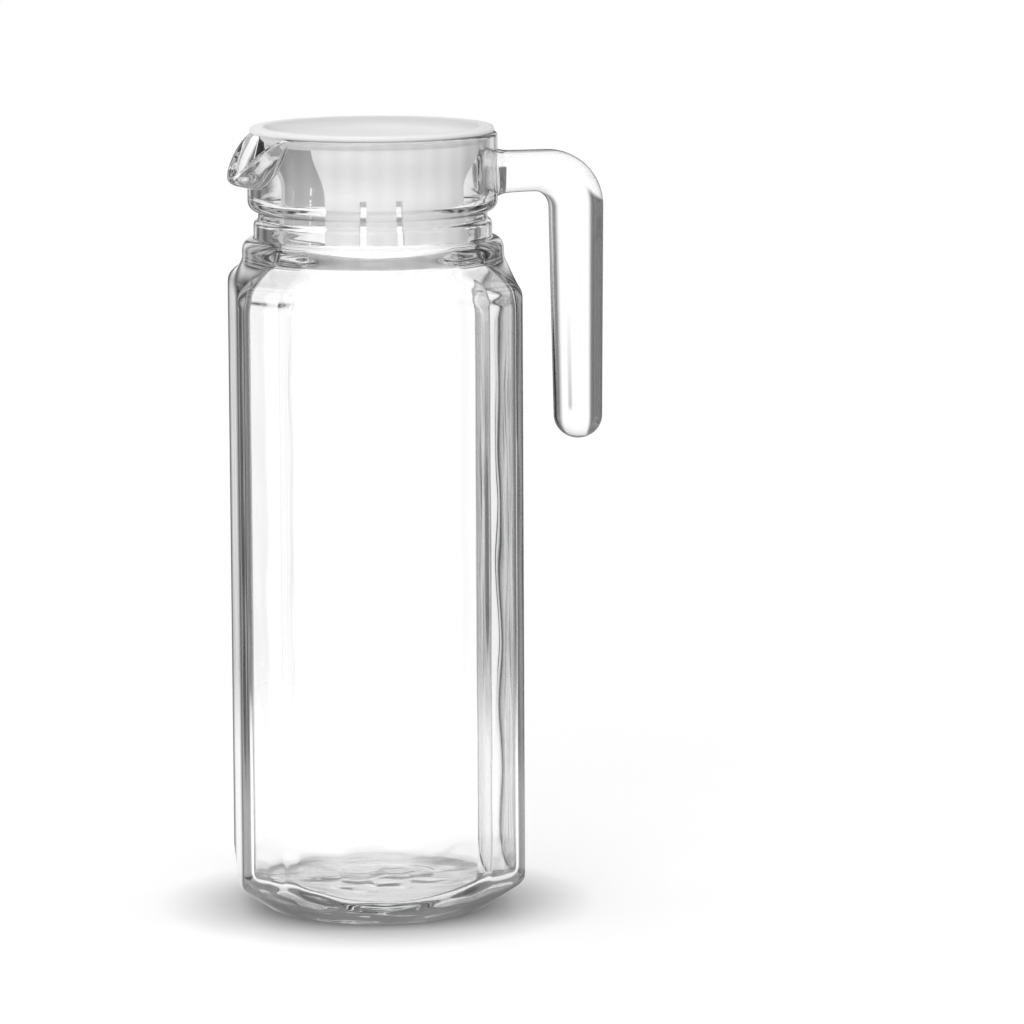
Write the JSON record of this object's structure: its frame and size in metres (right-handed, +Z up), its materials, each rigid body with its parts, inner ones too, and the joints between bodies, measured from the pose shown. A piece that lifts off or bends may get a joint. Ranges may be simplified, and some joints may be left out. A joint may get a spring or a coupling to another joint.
{
  "type": "glass pitcher with lid",
  "caption": "Tall clear glass pitcher with a chamfered square body, ringed neck, drooping pouring lip, side-fused glass handle and a dished plug-in plastic lid with a cut-away skirt.",
  "frame": {"origin": "centre of the round foot, on the jug's own axis, at the level of the surface it stands on", "axes": "+Z up along the jug's axis, +X square to a wide face on the handle's side, with the handle and the spout turned 8 degrees about Z from +X and -X, +Y to the left of someone who looks along +X"},
  "size_m": [0.1133, 0.084, 0.2351],
  "materials": {
    "clear_glass": "clear, fire-polished, faintly wavy pressed glass",
    "white_plastic": "satin, slightly translucent white polyethylene"
  },
  "bodies": {
    "jug_body": {"jug": "clear_glass", "handle": "clear_glass"},
    "lid_body": {"lid": "white_plastic"}
  },
  "joints": [
    {"name": "lid_lift", "type": "slide", "parent": "jug_body", "child": "lid_body", "axis": [0, 0, 1], "range_m": [0, 0.045]}
  ]
}
